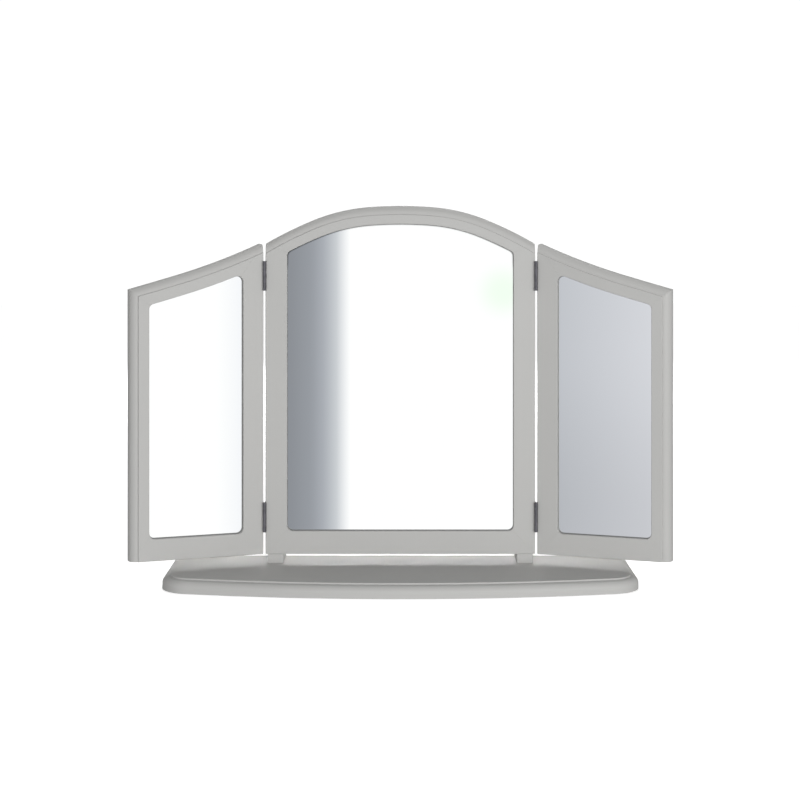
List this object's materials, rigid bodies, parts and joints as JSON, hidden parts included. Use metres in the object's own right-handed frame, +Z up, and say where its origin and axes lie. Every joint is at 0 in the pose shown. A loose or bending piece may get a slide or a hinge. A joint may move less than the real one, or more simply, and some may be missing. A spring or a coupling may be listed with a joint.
{
  "type": "dressing table mirror",
  "caption": "Free-standing triple mirror in painted wood: an arched centre panel on a bow-fronted base with two hinged folding wings, ovolo mouldings and back boards.",
  "frame": {"origin": "on the table under the middle of the base, level with the underside of the felt pads", "axes": "+X to the viewer's right across the mirrors, +Y to the back, +Z up"},
  "size_m": [0.7438, 0.1939, 0.5159],
  "materials": {
    "paint": "warm pale grey paint, satin, over close-grained board",
    "mirror_glass": "silvered float glass",
    "back_board": "bare hardboard",
    "hinge_steel": "dark bronzed steel",
    "screw_steel": "zinc plated steel",
    "felt": "pressed felt"
  },
  "bodies": {
    "stand": {"base_board": "paint", "base_screws_long": "screw_steel", "base_screws_short": "screw_steel", "centre_back": "back_board", "centre_back_screws": "screw_steel", "centre_bottom_rail": "paint", "centre_mirror": "mirror_glass", "centre_mitre_keys": "paint", "centre_stile_left": "paint", "centre_stile_right": "paint", "centre_top_rail": "paint", "felt_pads": "felt", "foot_block_left": "paint", "foot_block_right": "paint", "left_hinge_screws_centre": "screw_steel", "left_lower_hinge_leaf_centre": "hinge_steel", "left_lower_hinge_pin": "hinge_steel", "left_upper_hinge_leaf_centre": "hinge_steel", "left_upper_hinge_pin": "hinge_steel", "right_hinge_screws_centre": "screw_steel", "right_lower_hinge_leaf_centre": "hinge_steel", "right_lower_hinge_pin": "hinge_steel", "right_upper_hinge_leaf_centre": "hinge_steel", "right_upper_hinge_pin": "hinge_steel"},
    "left_wing": {"left_wing_back": "back_board", "left_wing_back_screws": "screw_steel", "left_wing_bottom_rail": "paint", "left_wing_hinge_screws": "screw_steel", "left_wing_hinge_stile": "paint", "left_wing_lower_hinge_leaf": "hinge_steel", "left_wing_mirror": "mirror_glass", "left_wing_mitre_keys": "paint", "left_wing_outer_stile": "paint", "left_wing_top_rail": "paint", "left_wing_upper_hinge_leaf": "hinge_steel"},
    "right_wing": {"right_wing_back": "back_board", "right_wing_back_screws": "screw_steel", "right_wing_bottom_rail": "paint", "right_wing_hinge_screws": "screw_steel", "right_wing_hinge_stile": "paint", "right_wing_lower_hinge_leaf": "hinge_steel", "right_wing_mirror": "mirror_glass", "right_wing_mitre_keys": "paint", "right_wing_outer_stile": "paint", "right_wing_top_rail": "paint", "right_wing_upper_hinge_leaf": "hinge_steel"}
  },
  "joints": [
    {"name": "left_wing_hinge", "type": "hinge", "parent": "stand", "child": "left_wing", "pos_m": [-0.18825, 0.03225, 0.25], "axis": [0, 0, 1], "range_deg": [-18, 162]},
    {"name": "right_wing_hinge", "type": "hinge", "parent": "stand", "child": "right_wing", "pos_m": [0.18825, 0.03225, 0.25], "axis": [0, 0, -1], "range_deg": [-18, 162]}
  ]
}
